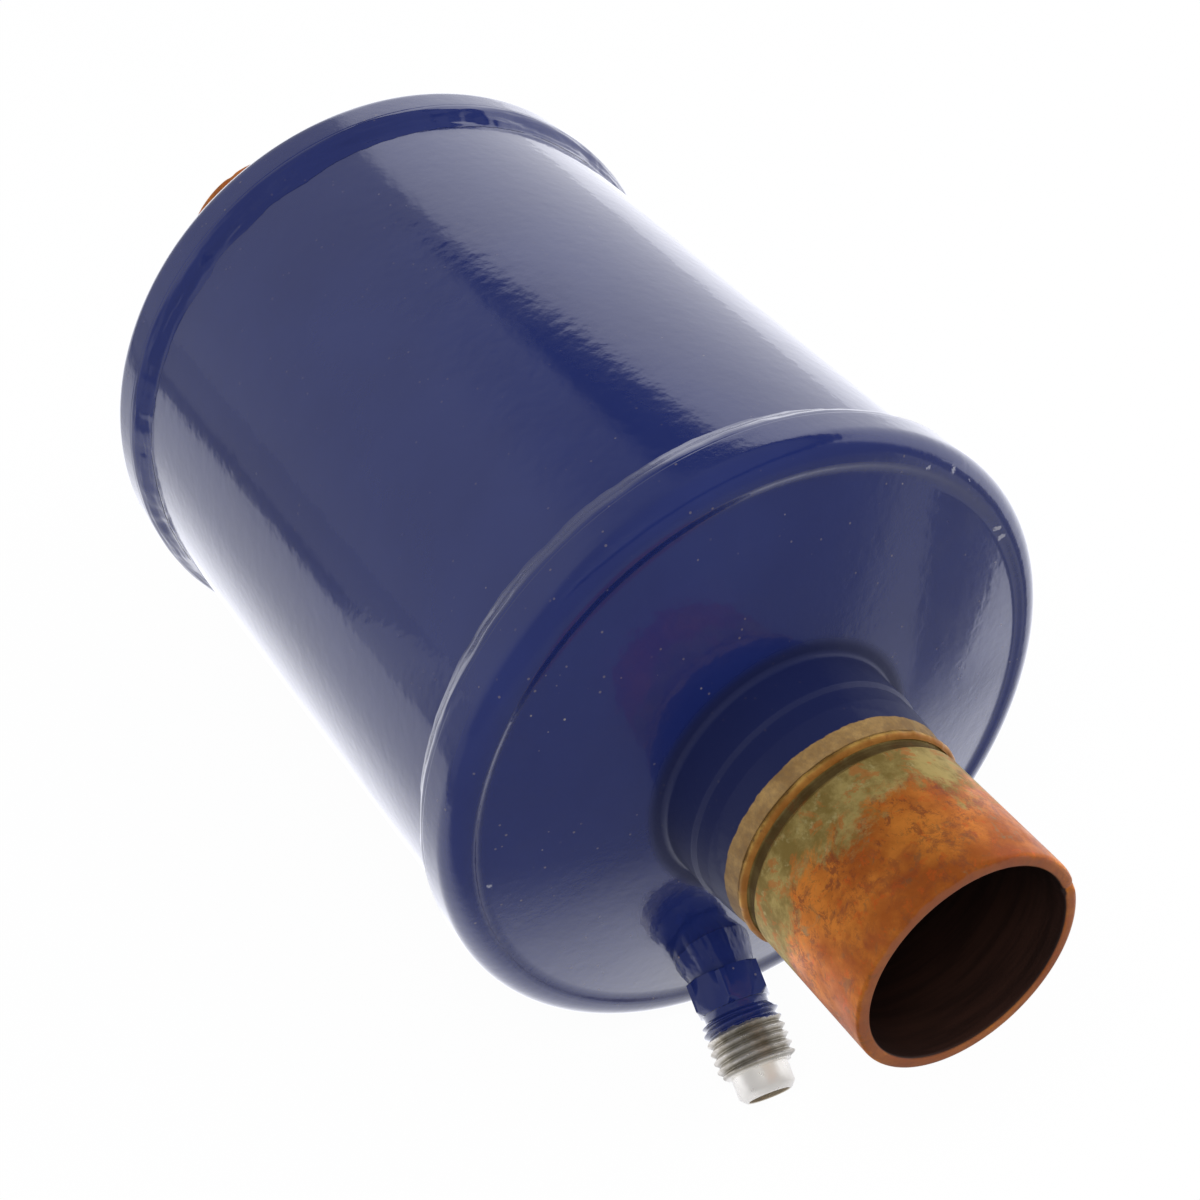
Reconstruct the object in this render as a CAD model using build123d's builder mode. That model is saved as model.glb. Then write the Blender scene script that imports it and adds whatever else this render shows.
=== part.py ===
"""Suction-line filter drier with copper sweat sockets and an access valve. Millimetres.

The drier lies on its side: +X points out of the inlet socket along the flow axis, +Z is up, and
the origin is the centre of the inlet socket's mouth. It stands on its two rims, and it has rolled
until the nose of the access valve meets the same surface.
"""
import os
from math import acos, cos, degrees, radians, sin, sqrt, tan

from build123d import *

# ---------------------------------------------------------------- driving dimensions
connection_bore = 28.7        # sweat socket for a 28.58 mm copper pipe
connection_wall = 1.8
inlet_stub = 48.8             # inlet rim centre to inlet mouth
outlet_stub = 47.7            # outlet rim centre to outlet mouth
tube_tail = 10.2              # rim centre to the inner end of each copper tube
lip_outer_round = 0.7
lip_inner_round = 0.45
stop_bead_at = 25.9           # rim centre to the rolled bead that stops the pipe
stop_bead_width = 1.3
stop_bead_depth = 0.65

shell_diameter = 88.9
shell_wall = 2.0
rim_spacing = 100.9           # distance between the two rim centres
shell_end_back = 0.6          # the shell ends this far short of each rim centre

cap_wall = 1.75
skirt_clearance = 0.05        # between the cap's skirt and the shell
skirt_back = 4.2              # the skirt reaches this far back from the rim centre
rim_crest = 4.3               # front of the rolled rim, from the rim centre
rim_round = 3.6
rim_inner_round = 1.2
crease_inset = 4.6            # radius lost from the rim to the crease
crease_step = 0.35            # the crease lies this far behind the rim's crest
crease_width = 0.8            # from the rim's crest down to the crease
crease_round = 1.0
dome_slope = 11.5             # degrees, rising from the crease to the neck

neck_wall = 1.45
neck_length = 14.9            # rim centre to the neck's shoulder
neck_fillet = 1.5
neck_shoulder_round = 0.3
neck_inner_fillet = 2.5
collar_wall = 1.0
collar_start = 15.5
collar_taper_start = 18.2     # from here on the collar narrows towards the copper tube
collar_tip_wall = 0.35
collar_end = 23.9
braze_clearance = 0.05        # between a copper tube and its neck
braze_ring_length = 1.3
braze_ring_height = 0.55

weld_toe_back = 6.6           # where the girth weld meets the shell
weld_crown_back = 3.0         # where it ends on the skirt
weld_crown_drop = 0.1         # below the skirt, so that the skirt carries the drier
weld_bulge = 0.45

valve_base_inset = 11.0       # from the shell's side in to where the valve's axis leaves the dome
valve_tilt = 30.3             # degrees from the flow axis
valve_length = 21.3
valve_tail = 3.4              # behind the dome's surface
spigot_diameter = 7.0
spigot_clearance = 0.05
hex_start = 3.6
hex_end = 8.5
hex_flats = 10.2
hex_turn = 5.0                # degrees, the hexagon's turn about the valve's axis
hex_corner_chamfer = 0.55
undercut_diameter = 9.2
thread_start = 9.7
thread_end = 17.3
thread_diameter = 11.0
thread_chamfer = 0.4
nose_diameter = 8.1
nose_chamfer = 0.8
valve_mouth_diameter = 5.8
valve_mouth_depth = 2.2
core_chamber_diameter = 5.2
core_chamber_floor = 6.8
gas_passage_diameter = 3.0
valve_braze_base_diameter = 14.6
valve_braze_top_diameter = 9.4
valve_braze_sink = 4.0

plug_top = 19.0
plug_base = 14.6
plug_bore = 1.7
barrel_base = 9.6
barrel_diameter = 3.8
barrel_bore = 2.5
barrel_floor = 0.7
seat_bore = 1.5
gasket_top = 14.4
gasket_length = 1.6
pin_diameter = 0.9
pin_top = 20.6
pin_collar_at = 13.9
pin_collar_length = 0.4
pin_collar_diameter = 1.5
pin_foot_length = 0.5
seal_diameter = 3.2
seal_length = 1.1
seal_gap = 0.05               # between the seal and the barrel it closes
spring_wire = 0.3
spring_turns = 6
spring_end_gap = 0.05

outlet_plate_thickness = 1.2
outlet_plate_at = 7.2         # its face towards the core, from the outlet rim centre
outlet_plate_flange = 7.2
felt_thickness = 3.0
felt_bore = 24.4
core_side_gap = 4.45          # between the moulded core and the shell
core_bore = 28.0
core_blind_end = 10.0         # left solid at the end of the core's bore
core_edge_chamfer = 2.0
strainer_diameter = 23.2
strainer_wall = 0.8
strainer_overhang = 4.0       # the strainer reaches this far through the outlet plate
strainer_gap = 0.8            # left at the blind end of the core's bore
strainer_holes_round = 8
strainer_rows = 8
strainer_hole_diameter = 3.2
core_clearance = 0.05         # around the sleeve, the strainer and the valve core's gasket
spring_plate_at = 8.5         # its face towards the spring, from the inlet rim centre
spring_plate_inset = 2.0      # from the core's side in to the plate's rim
spring_plate_thickness = 1.2
spring_plate_rim = 4.0
spring_plate_hole = 20.0
core_spring_wire = 2.0
core_spring_diameter = 46.0   # between wire centres
core_spring_turns = 2.5
coil_end_gap = 0.1

# ---------------------------------------------------------------- derived sizes
connection_radius = connection_bore / 2 + connection_wall
shell_radius = shell_diameter / 2
shell_bore_radius = shell_radius - shell_wall
skirt_bore_radius = shell_radius + skirt_clearance
rim_radius = skirt_bore_radius + cap_wall
crease_radius = rim_radius - crease_inset
valve_base_radius = shell_radius - valve_base_inset
weld_crown_radius = rim_radius - weld_crown_drop
neck_bore_radius = connection_radius + braze_clearance
neck_radius = neck_bore_radius + neck_wall
collar_radius = neck_bore_radius + collar_wall
collar_tip_radius = neck_bore_radius + collar_tip_wall
slope = tan(radians(dome_slope))
wall_along_axis = cap_wall / cos(radians(dome_slope))
inlet_rim_x = -inlet_stub
outlet_rim_x = inlet_rim_x - rim_spacing
outlet_mouth_x = outlet_rim_x - outlet_stub


def dome_height(radius):
    """Height of the dome's outer face over the rim centre."""
    return rim_crest - crease_step + (crease_radius - radius) * slope


def inlet_x(height):
    return inlet_rim_x + height


def outlet_x(height):
    return outlet_rim_x - height


# ---------------------------------------------------------------- the valve's own frame
def resting_angle():
    """Roll angle at which the valve's nose comes down to the level of the rims."""
    tilt = radians(valve_tilt)
    reach = valve_base_radius + (valve_length - nose_chamfer) * sin(tilt)
    nose = nose_diameter / 2
    square = reach**2 + (nose * sin(tilt)) ** 2
    spread = (rim_radius * reach) ** 2 - square * (rim_radius**2 - nose**2)
    return acos((rim_radius * reach - sqrt(spread)) / square)


valve_roll = resting_angle()
outward = Vector(0, -sin(valve_roll), -cos(valve_roll))
valve_base = Vector(inlet_x(dome_height(valve_base_radius)), 0, 0) + outward * valve_base_radius
valve_direction = (
    Vector(1, 0, 0) * cos(radians(valve_tilt)) + outward * sin(radians(valve_tilt))
)
valve_plane = Plane(
    origin=valve_base,
    x_dir=valve_direction.cross(Vector(1, 0, 0)),
    z_dir=valve_direction,
)
valve_profile_plane = Plane(
    origin=valve_base,
    x_dir=valve_plane.x_dir,
    z_dir=valve_plane.x_dir.cross(valve_direction),
)
valve_axis = Axis(valve_base, valve_direction)


def finish(part, label):
    part.label = label
    export_step(part, f"parts/{label}.step")


def ring_sketch(x, radius, bore_radius):
    """Flat ring about the flow axis."""
    with BuildSketch(Plane.YZ.offset(x)) as flat_ring:
        Circle(radius)
        Circle(bore_radius, mode=Mode.SUBTRACT)
    return flat_ring.sketch


def cap_section(place):
    """Half section of an end cap: skirt, rolled rim, crease, dome, neck and collar."""
    neck_foot = dome_height(neck_radius)
    bore_foot = dome_height(neck_bore_radius) - wall_along_axis
    skirt_corner = dome_height(skirt_bore_radius) - wall_along_axis
    weld_land = skirt_back - weld_crown_back
    rounds = [
        (rim_crest, rim_radius, rim_round),
        (rim_crest - crease_step, crease_radius, crease_round),
        (neck_foot, neck_radius, neck_fillet),
        (neck_length, neck_radius, neck_shoulder_round),
        (collar_start, collar_radius, neck_shoulder_round),
        (skirt_corner, skirt_bore_radius, rim_inner_round),
        (bore_foot, neck_bore_radius, neck_inner_fillet),
    ]
    with BuildSketch(Plane.XZ) as section:
        with BuildLine():
            Polyline(
                (place(-skirt_back), skirt_bore_radius),
                (place(-skirt_back), weld_crown_radius - weld_land),
                (place(-weld_crown_back), weld_crown_radius),
                (place(-weld_crown_back), rim_radius),
                (place(rim_crest), rim_radius),
                (place(rim_crest), crease_radius + crease_width),
                (place(rim_crest - crease_step), crease_radius),
                (place(neck_foot), neck_radius),
                (place(neck_length), neck_radius),
                (place(collar_start), collar_radius),
                (place(collar_taper_start), collar_radius),
                (place(collar_end), collar_tip_radius),
                (place(collar_end), neck_bore_radius),
                (place(bore_foot), neck_bore_radius),
                (place(skirt_corner), skirt_bore_radius),
                close=True,
            )
        make_face()
        for height, radius, size in rounds:
            corner = section.vertices().sort_by_distance((place(height), radius, 0))[0]
            fillet(corner, radius=size)
    return section.sketch


os.makedirs("parts", exist_ok=True)

# ---------------------------------------------------------------- shell and end caps
with BuildPart() as shell_tube:
    extrude(
        ring_sketch(outlet_x(-shell_end_back), shell_radius, shell_bore_radius),
        amount=rim_spacing - 2 * shell_end_back,
    )
finish(shell_tube.part, "shell_tube")

with BuildPart() as inlet_end_cap:
    revolve(cap_section(inlet_x), axis=Axis.X)
    with BuildSketch(valve_plane.offset(-valve_tail)):
        Circle(spigot_diameter / 2 + spigot_clearance)
    extrude(amount=valve_tail + hex_start, mode=Mode.SUBTRACT)
finish(inlet_end_cap.part, "inlet_end_cap")

with BuildPart() as outlet_end_cap:
    revolve(cap_section(outlet_x), axis=Axis.X)
finish(outlet_end_cap.part, "outlet_end_cap")


def girth_weld_section(place):
    """Half section of the fillet weld in the step between the shell and a cap's skirt."""
    weld_land = skirt_back - weld_crown_back
    middle_height = -(weld_toe_back + weld_crown_back) / 2
    middle_radius = (shell_radius + weld_crown_radius) / 2
    with BuildSketch(Plane.XZ) as section:
        with BuildLine():
            ThreePointArc(
                (place(-weld_toe_back), shell_radius),
                (place(middle_height - weld_bulge / 2), middle_radius + weld_bulge),
                (place(-weld_crown_back), weld_crown_radius),
            )
            Polyline(
                (place(-weld_crown_back), weld_crown_radius),
                (place(-skirt_back), weld_crown_radius - weld_land),
                (place(-skirt_back), shell_radius),
                (place(-weld_toe_back), shell_radius),
            )
        make_face()
    return section.sketch


with BuildPart() as inlet_girth_weld:
    revolve(girth_weld_section(inlet_x), axis=Axis.X)
finish(inlet_girth_weld.part, "inlet_girth_weld")

with BuildPart() as outlet_girth_weld:
    revolve(girth_weld_section(outlet_x), axis=Axis.X)
finish(outlet_girth_weld.part, "outlet_girth_weld")


# ---------------------------------------------------------------- copper connections
def copper_tube_section(place, mouth):
    """Half section of a sweat socket tube: a rolled bead stops the pipe, and the lips are round."""
    bore = connection_bore / 2
    bead_from = stop_bead_at - stop_bead_width / 2
    bead_to = stop_bead_at + stop_bead_width / 2
    outer_lip = mouth - lip_outer_round
    inner_lip = mouth - lip_inner_round
    outer_corner = lip_outer_round * (1 - sqrt(0.5))
    inner_corner = lip_inner_round * (1 - sqrt(0.5))
    with BuildSketch(Plane.XZ) as section:
        with BuildLine():
            Polyline(
                (place(bead_from), bore),
                (place(tube_tail), bore),
                (place(tube_tail), connection_radius),
                (place(bead_from), connection_radius),
            )
            ThreePointArc(
                (place(bead_from), connection_radius),
                (place(stop_bead_at), connection_radius - stop_bead_depth),
                (place(bead_to), connection_radius),
            )
            Line((place(bead_to), connection_radius), (place(outer_lip), connection_radius))
            ThreePointArc(
                (place(outer_lip), connection_radius),
                (place(mouth - outer_corner), connection_radius - outer_corner),
                (place(mouth), connection_radius - lip_outer_round),
            )
            Line(
                (place(mouth), connection_radius - lip_outer_round),
                (place(mouth), bore + lip_inner_round),
            )
            ThreePointArc(
                (place(mouth), bore + lip_inner_round),
                (place(mouth - inner_corner), bore + inner_corner),
                (place(inner_lip), bore),
            )
            Line((place(inner_lip), bore), (place(bead_to), bore))
            ThreePointArc(
                (place(bead_to), bore),
                (place(stop_bead_at), bore - stop_bead_depth),
                (place(bead_from), bore),
            )
        make_face()
    return section.sketch


with BuildPart() as inlet_tube:
    revolve(copper_tube_section(inlet_x, inlet_stub), axis=Axis.X)
finish(inlet_tube.part, "inlet_tube")

with BuildPart() as outlet_tube:
    revolve(copper_tube_section(outlet_x, outlet_stub), axis=Axis.X)
finish(outlet_tube.part, "outlet_tube")


def braze_ring_section(place):
    """Half section of the braze bead between a collar's end and its copper tube."""
    ring_end = collar_end + braze_ring_length
    with BuildSketch(Plane.XZ) as section:
        with BuildLine():
            ThreePointArc(
                (place(collar_end), connection_radius + braze_ring_height / 2),
                (place(collar_end + braze_ring_length / 2), connection_radius + braze_ring_height),
                (place(ring_end), connection_radius),
            )
            Polyline(
                (place(ring_end), connection_radius),
                (place(collar_end), connection_radius),
                (place(collar_end), connection_radius + braze_ring_height / 2),
            )
        make_face()
    return section.sketch


with BuildPart() as inlet_braze_ring:
    revolve(braze_ring_section(inlet_x), axis=Axis.X)
finish(inlet_braze_ring.part, "inlet_braze_ring")

with BuildPart() as outlet_braze_ring:
    revolve(braze_ring_section(outlet_x), axis=Axis.X)
finish(outlet_braze_ring.part, "outlet_braze_ring")


# ---------------------------------------------------------------- access valve
def valve_section(*points):
    """Half section, from (radius, height) points, of a piece turned about the valve's axis."""
    with BuildSketch(valve_profile_plane) as section:
        with BuildLine():
            Polyline(*points, close=True)
        make_face()
    return section.sketch


def valve_disc(height, diameter):
    """Round sketch square to the valve's axis."""
    with BuildSketch(valve_plane.offset(height)) as disc:
        Circle(diameter / 2)
    return disc.sketch


with BuildPart() as access_valve_body:
    spigot_radius = spigot_diameter / 2
    undercut_radius = undercut_diameter / 2
    thread_radius = thread_diameter / 2
    nose_radius = nose_diameter / 2
    hex_corner = hex_flats / sqrt(3)
    turned_outline = valve_section(
        (0, -valve_tail),
        (spigot_radius, -valve_tail),
        (spigot_radius, hex_end),
        (undercut_radius, hex_end),
        (undercut_radius, thread_start),
        (thread_radius - thread_chamfer, thread_start),
        (thread_radius, thread_start + thread_chamfer),
        (thread_radius, thread_end - thread_chamfer),
        (thread_radius - thread_chamfer, thread_end),
        (nose_radius, thread_end),
        (nose_radius, valve_length - nose_chamfer),
        (nose_radius - nose_chamfer, valve_length),
        (0, valve_length),
    )
    hex_bevel = valve_section(
        (hex_corner + hex_corner_chamfer, hex_end - 2 * hex_corner_chamfer),
        (hex_corner + hex_corner_chamfer, hex_end + hex_corner_chamfer),
        (hex_corner - 2 * hex_corner_chamfer, hex_end + hex_corner_chamfer),
    )
    with BuildSketch(valve_plane.offset(hex_start)):
        RegularPolygon(hex_flats / 2, 6, major_radius=False, rotation=hex_turn)
    extrude(amount=hex_end - hex_start)
    revolve(hex_bevel, axis=valve_axis, mode=Mode.SUBTRACT)
    revolve(turned_outline, axis=valve_axis)
    extrude(
        valve_disc(-valve_tail, gas_passage_diameter),
        amount=valve_length + valve_tail,
        mode=Mode.SUBTRACT,
    )
    extrude(
        valve_disc(core_chamber_floor, core_chamber_diameter),
        amount=valve_length - core_chamber_floor,
        mode=Mode.SUBTRACT,
    )
    extrude(
        valve_disc(valve_length - valve_mouth_depth, valve_mouth_diameter),
        amount=valve_mouth_depth,
        mode=Mode.SUBTRACT,
    )
finish(access_valve_body.part, "access_valve_body")

with BuildPart() as cap_envelope:
    with BuildSketch(Plane.XZ):
        with BuildLine():
            Polyline(
                (inlet_x(-skirt_back), 0),
                (inlet_x(-skirt_back), crease_radius),
                (inlet_x(dome_height(crease_radius)), crease_radius),
                (inlet_x(dome_height(0)), 0),
                close=True,
            )
        make_face()
    revolve(axis=Axis.X)

with BuildPart() as access_valve_braze:
    braze_section = valve_section(
        (spigot_radius, -valve_braze_sink),
        (valve_braze_base_diameter / 2, -valve_braze_sink),
        (valve_braze_base_diameter / 2, 0),
        (valve_braze_top_diameter / 2, hex_start),
        (spigot_radius, hex_start),
    )
    revolve(braze_section, axis=valve_axis)
    add(cap_envelope.part, mode=Mode.SUBTRACT)
finish(access_valve_braze.part, "access_valve_braze")

# ---------------------------------------------------------------- valve core
chamber_radius = core_chamber_diameter / 2
barrel_radius = barrel_diameter / 2
pin_radius = pin_diameter / 2
pin_collar_radius = pin_collar_diameter / 2
pin_foot = barrel_base - seal_length - pin_foot_length

with BuildPart() as valve_core_barrel:
    barrel_section = valve_section(
        (seat_bore / 2, barrel_base),
        (barrel_radius, barrel_base),
        (barrel_radius, plug_base),
        (chamber_radius, plug_base),
        (chamber_radius, plug_top),
        (plug_bore / 2, plug_top),
        (plug_bore / 2, plug_base),
        (barrel_bore / 2, plug_base),
        (barrel_bore / 2, barrel_base + barrel_floor),
        (seat_bore / 2, barrel_base + barrel_floor),
    )
    revolve(barrel_section, axis=valve_axis)
finish(valve_core_barrel.part, "valve_core_barrel")

with BuildPart() as valve_core_gasket:
    gasket_radius = chamber_radius - core_clearance
    gasket_section = valve_section(
        (barrel_radius, gasket_top - gasket_length),
        (gasket_radius, gasket_top - gasket_length / 2),
        (gasket_radius, gasket_top),
        (barrel_radius, gasket_top),
    )
    revolve(gasket_section, axis=valve_axis)
finish(valve_core_gasket.part, "valve_core_gasket")

with BuildPart() as valve_core_pin:
    pin_section = valve_section(
        (0, pin_foot),
        (pin_collar_radius, pin_foot),
        (pin_collar_radius, pin_foot + pin_foot_length),
        (pin_radius, pin_foot + pin_foot_length),
        (pin_radius, pin_collar_at),
        (pin_collar_radius, pin_collar_at),
        (pin_collar_radius, pin_collar_at + pin_collar_length),
        (pin_radius, pin_collar_at + pin_collar_length),
        (pin_radius, pin_top),
        (0, pin_top),
    )
    revolve(pin_section, axis=valve_axis)
finish(valve_core_pin.part, "valve_core_pin")

with BuildPart() as valve_core_seal:
    seal_top = barrel_base - seal_gap
    seal_section = valve_section(
        (pin_radius, barrel_base - seal_length),
        (seal_diameter / 2, barrel_base - seal_length),
        (seal_diameter / 2, seal_top),
        (pin_radius, seal_top),
    )
    revolve(seal_section, axis=valve_axis)
finish(valve_core_seal.part, "valve_core_seal")


def coil_path(floor_plane, height, diameter, turns):
    """Centre line of a helical spring that climbs from a plane."""
    return Helix(
        pitch=height / turns,
        height=height,
        radius=diameter / 2,
        center=floor_plane.origin,
        direction=floor_plane.z_dir,
    )


def wire_section(path, wire):
    """Round section of a spring's wire at the start of its path."""
    with BuildSketch(Plane(origin=path @ 0, z_dir=path % 0)) as section:
        Circle(wire / 2)
    return section.sketch


spring_floor = barrel_base + barrel_floor + spring_wire / 2 + spring_end_gap
spring_height = pin_collar_at - spring_wire / 2 - spring_end_gap - spring_floor
valve_spring_path = coil_path(
    valve_plane.offset(spring_floor),
    spring_height,
    (barrel_bore + pin_diameter) / 2,
    spring_turns,
)

with BuildPart() as valve_core_spring:
    sweep(wire_section(valve_spring_path, spring_wire), path=valve_spring_path, is_frenet=True)
finish(valve_core_spring.part, "valve_core_spring")

# ---------------------------------------------------------------- what the shell holds
plate_back = outlet_plate_at - outlet_plate_thickness
core_seat = outlet_plate_at + felt_thickness
spring_plate_front = rim_spacing - spring_plate_at
felt_front = spring_plate_front - spring_plate_thickness
core_front = felt_front - felt_thickness
core_length = core_front - core_seat
core_bore_depth = core_length - core_blind_end
core_radius = shell_bore_radius - core_side_gap
strainer_start = plate_back - strainer_overhang
strainer_end = core_seat + core_bore_depth - strainer_gap
strainer_radius = strainer_diameter / 2
spring_plate_radius = core_radius - spring_plate_inset

with BuildPart() as outlet_plate:
    extrude(
        ring_sketch(
            outlet_x(-plate_back), shell_bore_radius, strainer_radius + core_clearance
        ),
        amount=outlet_plate_thickness,
    )
    extrude(
        ring_sketch(
            outlet_x(-plate_back) - outlet_plate_flange,
            shell_bore_radius,
            shell_bore_radius - outlet_plate_thickness,
        ),
        amount=outlet_plate_flange,
    )
finish(outlet_plate.part, "outlet_plate")

with BuildPart() as outlet_felt_ring:
    extrude(
        ring_sketch(outlet_x(-outlet_plate_at), core_radius, felt_bore / 2),
        amount=felt_thickness,
    )
finish(outlet_felt_ring.part, "outlet_felt_ring")

with BuildPart() as desiccant_core:
    with BuildSketch(Plane.YZ.offset(outlet_x(-core_seat))):
        Circle(core_radius)
    extrude(amount=core_length)
    chamfer(desiccant_core.edges().filter_by(GeomType.CIRCLE), length=core_edge_chamfer)
    with BuildSketch(Plane.YZ.offset(outlet_x(-core_seat))):
        Circle(core_bore / 2)
    extrude(amount=core_bore_depth, mode=Mode.SUBTRACT)
finish(desiccant_core.part, "desiccant_core")

strainer_row_pitch = core_bore_depth / (strainer_rows + 1)
strainer_hole_turn = 360 / strainer_holes_round

with BuildPart() as strainer_tube:
    extrude(
        ring_sketch(outlet_x(-strainer_start), strainer_radius, strainer_radius - strainer_wall),
        amount=strainer_end - strainer_start,
    )
    for row in range(strainer_rows):
        row_x = outlet_x(-core_seat - (row + 1) * strainer_row_pitch)
        for hole in range(strainer_holes_round):
            side = Vector(0, 0, 1).rotate(Axis.X, hole * strainer_hole_turn)
            with BuildSketch(Plane(origin=(row_x, 0, 0), x_dir=(1, 0, 0), z_dir=side)):
                Circle(strainer_hole_diameter / 2)
            extrude(amount=strainer_diameter, mode=Mode.SUBTRACT)
finish(strainer_tube.part, "strainer_tube")

with BuildPart() as filter_sleeve:
    extrude(
        ring_sketch(
            outlet_x(-core_seat),
            core_bore / 2 - core_clearance,
            strainer_radius + core_clearance,
        ),
        amount=strainer_end - core_seat,
    )
finish(filter_sleeve.part, "filter_sleeve")

with BuildPart() as inlet_felt_ring:
    extrude(
        ring_sketch(
            outlet_x(-core_front),
            spring_plate_radius - spring_plate_thickness,
            spring_plate_hole / 2,
        ),
        amount=felt_thickness,
    )
finish(inlet_felt_ring.part, "inlet_felt_ring")

with BuildPart() as spring_plate:
    extrude(
        ring_sketch(outlet_x(-felt_front), spring_plate_radius, spring_plate_hole / 2),
        amount=spring_plate_thickness,
    )
    extrude(
        ring_sketch(
            outlet_x(-spring_plate_front),
            spring_plate_radius,
            spring_plate_radius - spring_plate_thickness,
        ),
        amount=spring_plate_rim,
    )
finish(spring_plate.part, "spring_plate")

coil_outer_radius = core_spring_diameter / 2 + core_spring_wire / 2
coil_floor_x = outlet_x(-spring_plate_front) + core_spring_wire / 2 + coil_end_gap
coil_top_x = (
    inlet_x(dome_height(coil_outer_radius) - wall_along_axis) - core_spring_wire / 2 - coil_end_gap
)
core_spring_path = coil_path(
    Plane.YZ.offset(coil_floor_x),
    coil_top_x - coil_floor_x,
    core_spring_diameter,
    core_spring_turns,
)

with BuildPart() as core_spring:
    sweep(wire_section(core_spring_path, core_spring_wire), path=core_spring_path, is_frenet=True)
finish(core_spring.part, "core_spring")

print(f"valve roll {degrees(valve_roll):.2f} degrees from straight down")
print("valve base", tuple(round(v, 4) for v in valve_base))
print("valve direction", tuple(round(v, 6) for v in valve_direction))
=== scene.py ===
import math

import bmesh
import bpy
from mathutils import Matrix, Vector, noise


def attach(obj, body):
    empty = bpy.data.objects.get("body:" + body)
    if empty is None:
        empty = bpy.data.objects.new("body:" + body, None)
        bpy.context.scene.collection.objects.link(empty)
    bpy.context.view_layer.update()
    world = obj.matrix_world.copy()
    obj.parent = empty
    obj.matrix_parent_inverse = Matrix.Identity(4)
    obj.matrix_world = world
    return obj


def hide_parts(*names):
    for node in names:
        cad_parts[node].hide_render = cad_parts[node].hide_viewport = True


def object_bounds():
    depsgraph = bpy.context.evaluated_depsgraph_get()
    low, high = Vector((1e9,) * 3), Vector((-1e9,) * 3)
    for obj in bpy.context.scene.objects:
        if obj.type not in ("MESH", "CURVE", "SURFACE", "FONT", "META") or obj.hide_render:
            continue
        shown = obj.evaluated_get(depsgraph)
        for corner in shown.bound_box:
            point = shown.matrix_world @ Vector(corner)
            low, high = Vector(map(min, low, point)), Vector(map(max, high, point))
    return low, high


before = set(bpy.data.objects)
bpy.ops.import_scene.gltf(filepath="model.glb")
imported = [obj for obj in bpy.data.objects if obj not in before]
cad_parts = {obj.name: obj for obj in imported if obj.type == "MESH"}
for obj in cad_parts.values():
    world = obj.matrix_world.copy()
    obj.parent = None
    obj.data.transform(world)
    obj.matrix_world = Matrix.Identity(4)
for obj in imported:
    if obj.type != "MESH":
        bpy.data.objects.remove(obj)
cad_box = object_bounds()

MM = 0.001

# ------------------------------------------------------------------ sizes shared with the part (mm)
INLET_RIM = -48.8
OUTLET_RIM = -149.7
INLET_STUB = 48.8
OUTLET_STUB = 47.7
SHELL_R = 44.45
SKIRT_BORE = 44.5
RIM_R = 46.25
CREST = 4.3
CREASE_R = 41.65
DOME_SLOPE = math.tan(math.radians(11.5))
NECK_R = 17.65
NECK_BORE = 16.2
COLLAR_R = 17.2
COLLAR_TIP_R = 16.55
COLLAR_END = 23.9
TUBE_R = 16.15
TUBE_BORE = 14.35
PAINT_END = 21.4
VALVE_BASE = Vector((-43.1817, -7.343, -32.6341))
VALVE_DIR = Vector((0.863396, -0.110755, -0.492221)).normalized()
THREAD_PITCH = 1.27


# ------------------------------------------------------------------ mesh helpers
SHARP_ANGLE = 35.0
SAME_POINT = 1e-7


def rounded(points, step=9.0):
    """Polyline through (h, r[, fillet]) points, with arcs of about `step` degrees at the fillets."""
    out = []
    count = len(points)
    for i, p in enumerate(points):
        here = Vector((p[0], p[1]))
        size = p[2] if len(p) > 2 else 0.0
        if not size:
            out.append((here.x, here.y))
            continue
        before = Vector(points[i - 1][:2]) - here
        after = Vector(points[(i + 1) % count][:2]) - here
        turn = math.pi - before.angle(after)
        if turn < 1e-3:
            out.append((here.x, here.y))
            continue
        reach = size * math.tan(turn / 2)
        start = here + before.normalized() * reach
        end = here + after.normalized() * reach
        middle = (before.normalized() + after.normalized()).normalized()
        centre = here + middle * (size / math.cos(turn / 2))
        pieces = max(2, int(math.degrees(turn) / step) + 1)
        a, b = start - centre, end - centre
        for k in range(pieces + 1):
            f = k / pieces
            v = a * math.sin((1 - f) * turn) + b * math.sin(f * turn)
            v = centre + v / math.sin(turn)
            out.append((v.x, v.y))
    return out


def refined(path, step):
    """The same closed path with no stretch longer than `step`."""
    out = []
    count = len(path)
    for i in range(count):
        a, b = path[i], path[(i + 1) % count]
        pieces = max(1, int(math.hypot(b[0] - a[0], b[1] - a[1]) / step) + 1)
        for k in range(pieces):
            f = k / pieces
            out.append((a[0] + (b[0] - a[0]) * f, a[1] + (b[1] - a[1]) * f))
    return out


def grid_mesh(name, rows, sharp=SHARP_ANGLE):
    """Closed mesh from rows of points in mm: rows[i][j] joins round both j and i."""
    n, m = len(rows), len(rows[0])
    verts = [Vector(p) * MM for row in rows for p in row]
    faces = []
    for i in range(n):
        k = (i + 1) % n
        for j in range(m):
            after = (j + 1) % m
            faces.append((i * m + j, i * m + after, k * m + after, k * m + j))
    mesh = bpy.data.meshes.new(name)
    mesh.from_pydata(verts, [], faces)
    mesh.validate()
    for p in mesh.polygons:
        p.use_smooth = True
    o = bpy.data.objects.new(name, mesh)
    bpy.context.scene.collection.objects.link(o)
    face_outward(mesh)
    mesh.set_sharp_from_angle(angle=math.radians(sharp))
    return o


def face_outward(mesh):
    """Joins doubled points and turns every face outward."""
    bm = bmesh.new()
    bm.from_mesh(mesh)
    bmesh.ops.remove_doubles(bm, verts=bm.verts, dist=SAME_POINT)
    bmesh.ops.recalc_face_normals(bm, faces=bm.faces)
    bm.to_mesh(mesh)
    bm.free()


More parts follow.
